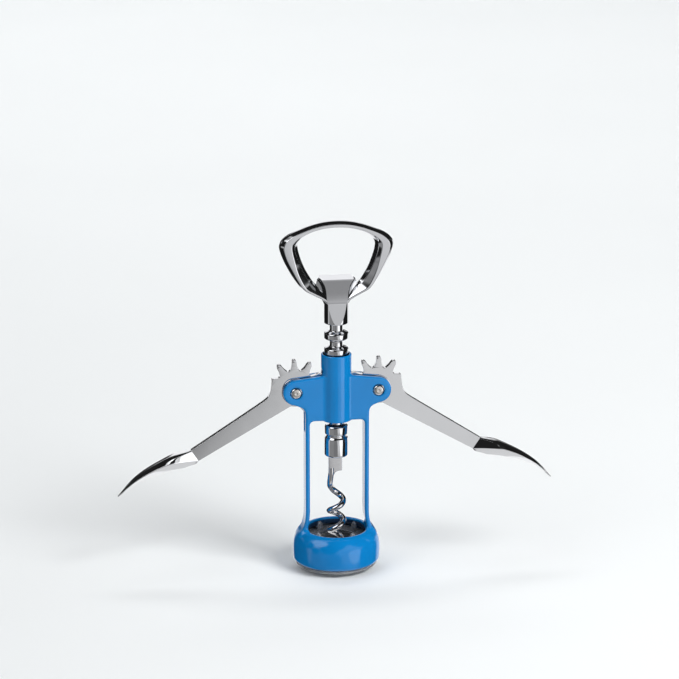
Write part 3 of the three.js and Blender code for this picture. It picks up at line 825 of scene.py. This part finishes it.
def thumb_rest():
    """The end of the lever: the bar widens between two flat facets into a pointed, crowned leaf, and tapers
    away underneath as a rounded keel."""
    # X and Z of the leaf's edge, lean, half width, half width and height of the shoulder, crown,
    # keel depth, softness of the shoulder
    rows = [
        (41.6, -28.9, -31, 1.12, 1.10, 5.20, 5.30, 0.3, 0.1),
        (43.6, -28.7, -29, 1.88, 1.80, 4.40, 4.50, 2.0, 0.1),
        (46.4, -28.5, -25, 2.95, 2.78, 3.50, 3.65, 3.0, 0.2),
        (49.0, -28.4, -21.5, 3.95, 3.62, 2.72, 2.95, 3.9, 0.4),
        (51.2, -28.4, -19, 4.70, 4.00, 2.05, 2.42, 4.2, 0.7),
        (53.2, -28.6, -17.5, 5.10, 3.85, 1.50, 1.95, 4.3, 0.9),
        (55.2, -29.1, -17, 5.15, 3.50, 1.12, 1.58, 4.2, 1.0),
        (57.4, -29.9, -18, 5.08, 3.25, 0.86, 1.28, 3.9, 1.0),
        (60.5, -31.3, -21, 4.90, 3.10, 0.70, 1.05, 3.2, 1.0),
        (64.7, -33.7, -29, 4.30, 2.80, 0.60, 0.90, 2.2, 1.0),
        (68.8, -36.5, -37, 3.40, 2.20, 0.45, 0.70, 1.3, 0.8),
        (71.8, -39.2, -42, 2.40, 1.50, 0.35, 0.50, 0.7, 0.6),
        (74.3, -41.8, -46, 1.50, 0.90, 0.20, 0.32, 0.4, 0.4),
        (75.9, -43.6, -48, 0.50, 0.30, 0.10, 0.16, 0.2, 0.1),
    ]
    rings = []
    for x, z, degrees, half, inner, shoulder, crown, keel, soft in spline(rows, 130):
        lean = math.radians(degrees)
        rib = min(0.95, 0.7 * half)
        front = [(-0.35 * inner, crown, 0.6), (-inner, shoulder, max(soft, 0.05)), (-half, 0.16, 0.14),
                 (-half, -0.12, 0.14), (-0.62 * half, -0.5 * keel - 0.06, 0.8), (-rib, -keel, 0.5)]
        whole = front + [(-y, up, r) for y, up, r in front[::-1]]
        outline = fillet(whole, closed=True, steps=4)
        rings.append([(x - up * math.sin(lean), y, z + up * math.cos(lean)) for y, up in outline])
    return loft(rings)


def build_lever(side, turn):
    hole = [polar(PIN_R + CLEARANCE, a) for a in np.linspace(0, 2 * math.pi, 48, endpoint=False)]
    arm = plate(lever_outline(), [hole], PLATE_THICKNESS, PLATE_EDGE)
    hub_profile = fillet([
        (PIN_R + CLEARANCE, -HUB_THICKNESS / 2, 0.1), (HUB_R, -HUB_THICKNESS / 2, 0.3),
        (HUB_R, HUB_THICKNESS / 2, 0.3), (PIN_R + CLEARANCE, HUB_THICKNESS / 2, 0.1),
    ], closed=True)
    vertices, faces = lathe(hub_profile, 64)
    hub = np.stack([vertices[:, 0], -vertices[:, 2], vertices[:, 1]], 1), faces
    middle = np.array([PIVOT_X if turn == 0 else -PIVOT_X, 0, PIVOT_Z])
    pieces = [("arm", join_parts([arm, hub]), 35, True), ("thumb_rest", thumb_rest(), 50, False)]
    for name, part, sharp, flat in pieces:
        vertices, faces = about_z(part, turn)
        piece = make_object(
            f"{side}_{name}", vertices + middle, faces, LEVER_CHROME, f"{side}_lever", "chrome", sharp, flat
        )
        if name == "arm":
            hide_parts(f"{side}_lever")


build_frame()
build_liner()
build_pin("left", -PIVOT_X)
build_pin("right", PIVOT_X)
build_shaft()
build_worm()
build_handle()
build_lever("left", math.pi)
build_lever("right", 0)

# ================================================================ floor, light and camera


def build_floor():
    """A pale sweep: level under the object, curving up behind it."""
    half_width = 2.6
    profile = [(-1.6, 0), (1.7, 0), (2.0, 0.04), (2.25, 0.18), (2.4, 0.45), (2.46, 0.9), (2.48, 1.8)]
    curve = spline(profile, 60)
    vertices = [(x, y, z) for y, z in curve for x in (-half_width, half_width)]
    faces = [[2 * i, 2 * i + 1, 2 * i + 3, 2 * i + 2] for i in range(len(curve) - 1)]
    mesh = bpy.data.meshes.new("floor")
    mesh.from_pydata(vertices, [], faces)
    mesh.shade_smooth()
    paper = Shader("floor_paper", Roughness=0.8)
    shades = [(0.3, (0.84, 0.862, 0.867)), (0.7, (0.86, 0.882, 0.887))]
    paper.drive("Base Color", paper.ramp(paper.noise(3, 2), shades))
    mesh.materials.append(paper.material)
    floor = bpy.data.objects.new("floor", mesh)
    bpy.context.scene.collection.objects.link(floor)
    floor.visible_glossy = False


COOL = 1.015  # how much stronger blue is than red and green in the studio's greys


def build_world():
    """A studio seen only in reflections and as soft fill: pale all round, with dark and bright areas."""
    world = bpy.data.worlds.new("studio")
    bpy.context.scene.world = world
    world.use_nodes = True
    tree = world.node_tree
    direction = tree.nodes.new("ShaderNodeTexCoord").outputs["Generated"]
    split = tree.nodes.new("ShaderNodeSeparateXYZ")
    tree.links.new(direction, split.inputs["Vector"])
    ramp = tree.nodes.new("ShaderNodeValToRGB")
    rescale = tree.nodes.new("ShaderNodeMapRange")
    rescale.inputs["From Min"].default_value = -1
    rescale.inputs["From Max"].default_value = 1
    tree.links.new(split.outputs["Z"], rescale.inputs["Value"])
    tree.links.new(rescale.outputs["Result"], ramp.inputs["Fac"])
    # From straight down to straight up: the share of the way, and the brightness there
    stops = [(0.0, 0.72), (0.12, 0.7), (0.2, 0.4), (0.28, 0.35), (0.335, 0.68), (0.45, 0.62), (0.56, 0.58),
             (0.7, 0.8), (1.0, 0.9)]
    elements = ramp.color_ramp.elements
    while len(elements) < len(stops):
        elements.new(0.5)
    for element, (position, value) in zip(elements, stops):
        element.position = position
        element.color = (value, value, value * COOL, 1)
    colour = ramp.outputs["Color"]
    # azimuth, elevation, inner and outer half-angle of each area, and its brightness; later ones lie on top
    areas = [
        (180, -12, 46, 54, 1.0),  # the pale wall behind
        (-50, -22, 22, 32, 0.25),  # dim low left of the front
        (-13.2, -18, 15, 21, 0.2),  # a dimmer patch beside it
        (8, -30, 6, 10, 0.3),  # dim in front, low
        (-28, 20, 21, 28, 0.015),  # dark in front, above
        (42, -6, 15, 20, 1.5),  # a bright window on the right
        (90, -12, 29, 36, 0.01),  # dark on the right
        (-125, -15, 30, 40, 0.01),  # dark on the left
        (-88, -50, 20, 30, 0.01),  # dark floor on the left
        (105, -44, 14, 22, 0.02),  # dark floor on the right
        (84, 44, 28, 36, 0.02),  # dark high on the right
        (-10, 41, 18, 25, 0.015),  # dark in front, higher
        (150, 40, 24, 30, 0.012),  # dark behind, right
        (-160, 48, 24, 30, 0.012),  # dark behind, left
        (10, 66, 22, 30, 0.02),  # dark overhead
        (-72, 46, 17, 24, 2.0),  # a bright window high on the left
        (-94, 20, 15, 22, 0.012),  # dark on the left, level
        (-64, 5, 10, 15, 0.012),  # dark in front, left
        (163, -6, 8, 12, 0.04),  # two dark patches in the pale wall
        (-166, 8, 8, 12, 0.04),
        (122, 22, 14, 20, 0.012),  # four more behind, at the sides
        (-118, 38, 13, 19, 0.012),
        (146, 12, 13, 18, 0.015),
        (-145, 20, 13, 18, 0.015),
    ]
    for azimuth, elevation, inner, outer, shade in areas:
        a, e = math.radians(azimuth), math.radians(elevation)
        dot = tree.nodes.new("ShaderNodeVectorMath")
        dot.operation = "DOT_PRODUCT"
        dot.inputs[1].default_value = (math.sin(a) * math.cos(e), -math.cos(a) * math.cos(e), math.sin(e))
        tree.links.new(direction, dot.inputs[0])
        edge = tree.nodes.new("ShaderNodeMapRange")
        edge.interpolation_type = "SMOOTHSTEP"
        edge.inputs["From Min"].default_value = math.cos(math.radians(outer))
        edge.inputs["From Max"].default_value = math.cos(math.radians(inner))
        tree.links.new(dot.outputs["Value"], edge.inputs["Value"])
        mix = tree.nodes.new("ShaderNodeMix")
        mix.data_type = "RGBA"
        tree.links.new(edge.outputs["Result"], mix.inputs["Factor"])
        tree.links.new(colour, mix.inputs[6])
        mix.inputs[7].default_value = (shade, shade, shade * COOL, 1)
        colour = mix.outputs[2]
    background = tree.nodes["Background"]
    tree.links.new(colour, background.inputs["Color"])
    background.inputs["Strength"].default_value = 1.0


def add_area_light(name, location, target, size, power, colour=(1, 1, 1)):
    light = bpy.data.lights.new(name, "AREA")
    light.shape = "RECTANGLE"
    light.size, light.size_y = size
    light.energy = power
    light.color = colour
    obj = bpy.data.objects.new(name, light)
    bpy.context.scene.collection.objects.link(obj)
    obj.location = location
    obj.rotation_mode = "QUATERNION"
    obj.rotation_quaternion = (Vector(target) - Vector(location)).to_track_quat("-Z", "Y")
    obj.visible_glossy = False
    return obj


def build_camera():
    """Looks at the object from slightly to its left and above, as far off as a short telephoto stands."""
    azimuth, elevation, distance = math.radians(-8.1), math.radians(16.6), 1.3
    target = Vector((0.0014, 0, 0.0992))
    back = Vector((math.sin(azimuth) * math.cos(elevation), -math.cos(azimuth) * math.cos(elevation),
                   math.sin(elevation)))
    camera = bpy.data.cameras.new("camera")
    camera.lens = 163.2
    camera.sensor_width = 36
    camera.clip_start, camera.clip_end = 0.05, 20
    obj = bpy.data.objects.new("camera", camera)
    bpy.context.scene.collection.objects.link(obj)
    obj.location = target + back * distance
    obj.rotation_mode = "QUATERNION"
    obj.rotation_quaternion = (-back).to_track_quat("-Z", "Y")
    bpy.context.scene.camera = obj


build_floor()
build_world()
# name, place, aim, size, power
add_area_light("key", (0.7, -0.7, 0.9), (0, 0, 0.05), (0.6, 0.6), 15)
add_area_light("fill", (-0.8, -0.5, 0.8), (0, 0, 0.08), (0.6, 0.9), 0.6)
add_area_light("backdrop", (0, 0.9, 1.6), (0, 2.0, 0.1), (1.6, 0.8), 20)
build_camera()
bpy.context.scene.view_settings.view_transform = "Standard"
